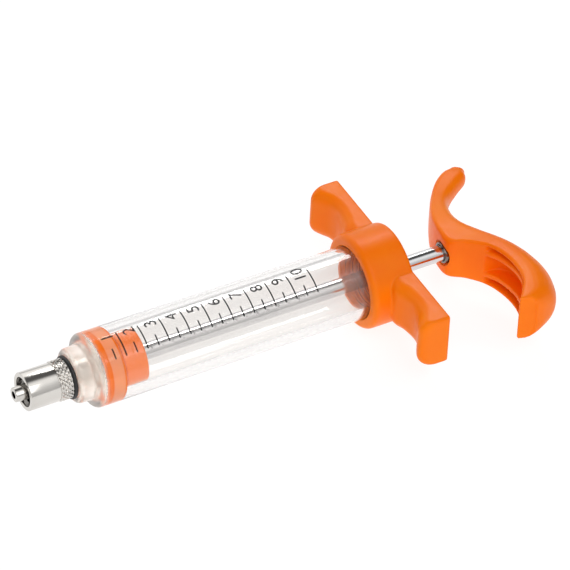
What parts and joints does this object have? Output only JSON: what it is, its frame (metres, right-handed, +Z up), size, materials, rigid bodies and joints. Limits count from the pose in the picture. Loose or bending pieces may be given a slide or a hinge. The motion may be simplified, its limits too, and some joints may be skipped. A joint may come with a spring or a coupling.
{
  "type": "hand syringe",
  "caption": "Reusable hand syringe: clear graduated barrel, screw-in metal Luer-lock nozzle, winged orange screw cap and a steel plunger rod with a curved push handle.",
  "frame": {"origin": "middle of the base the syringe lies on: the centre of the footprint, at the lowest point of the cap's collar", "axes": "+X along the barrel from the nozzle to the handle, wings and handle along Y, +Z up"},
  "size_m": [0.1456, 0.0634, 0.0259],
  "materials": {
    "clear_plastic": "clear, slightly milky moulded plastic, polished",
    "orange_plastic": "satin-gloss moulded plastic",
    "orange_silicone": "smooth silicone rubber",
    "nickel_plate": "nickel plate, turned and knurled",
    "polished_steel": "polished stainless steel",
    "black_rubber": "matt nitrile rubber",
    "pale_acetal": "turned acetal"
  },
  "bodies": {
    "barrel": {"barrel": "clear_plastic"},
    "nozzle_washer": {"nozzle_washer": "black_rubber"},
    "nozzle": {"nozzle_body": "nickel_plate", "luer_tip": "nickel_plate"},
    "guide_bush": {"rod_guide_bush": "pale_acetal", "cap_gasket": "orange_silicone"},
    "cap": {"winged_cap": "orange_plastic"},
    "piston": {"piston_core": "orange_plastic", "piston_seal": "orange_silicone", "piston_guide": "orange_plastic", "thrust_washer": "polished_steel"},
    "plunger": {"plunger_rod": "polished_steel", "retaining_clip": "polished_steel", "handle_insert": "nickel_plate", "handle": "orange_plastic"}
  },
  "joints": [
    {"name": "plunger_slide", "type": "slide", "parent": "barrel", "child": "piston", "axis": [1, 0, 0], "range_m": [0, 0.07]},
    {"name": "handle_turn", "type": "hinge", "parent": "piston", "child": "plunger", "pos_m": [0.05, 0.00133, 0.01295], "axis": [1, 0, 0], "continuous": true},
    {"name": "cap_turn", "type": "hinge", "parent": "guide_bush", "child": "cap", "pos_m": [0.0379, 0.00133, 0.01295], "axis": [1, 0, 0], "range_deg": [0, 905]},
    {"name": "cap_travel", "type": "slide", "parent": "barrel", "child": "guide_bush", "axis": [1, 0, 0], "range_m": [0, 0.005]},
    {"name": "nozzle_turn", "type": "hinge", "parent": "nozzle_washer", "child": "nozzle", "pos_m": [-0.0602, 0.00133, 0.01295], "axis": [-1, 0, 0], "range_deg": [0, 1447]},
    {"name": "nozzle_travel", "type": "slide", "parent": "barrel", "child": "nozzle_washer", "axis": [-1, 0, 0], "range_m": [0, 0.005]}
  ],
  "couplings": [
    {"joint": "cap_turn", "follows": "cap_travel", "rad_per_m": 3141.6},
    {"joint": "nozzle_turn", "follows": "nozzle_travel", "rad_per_m": 5026.5}
  ]
}
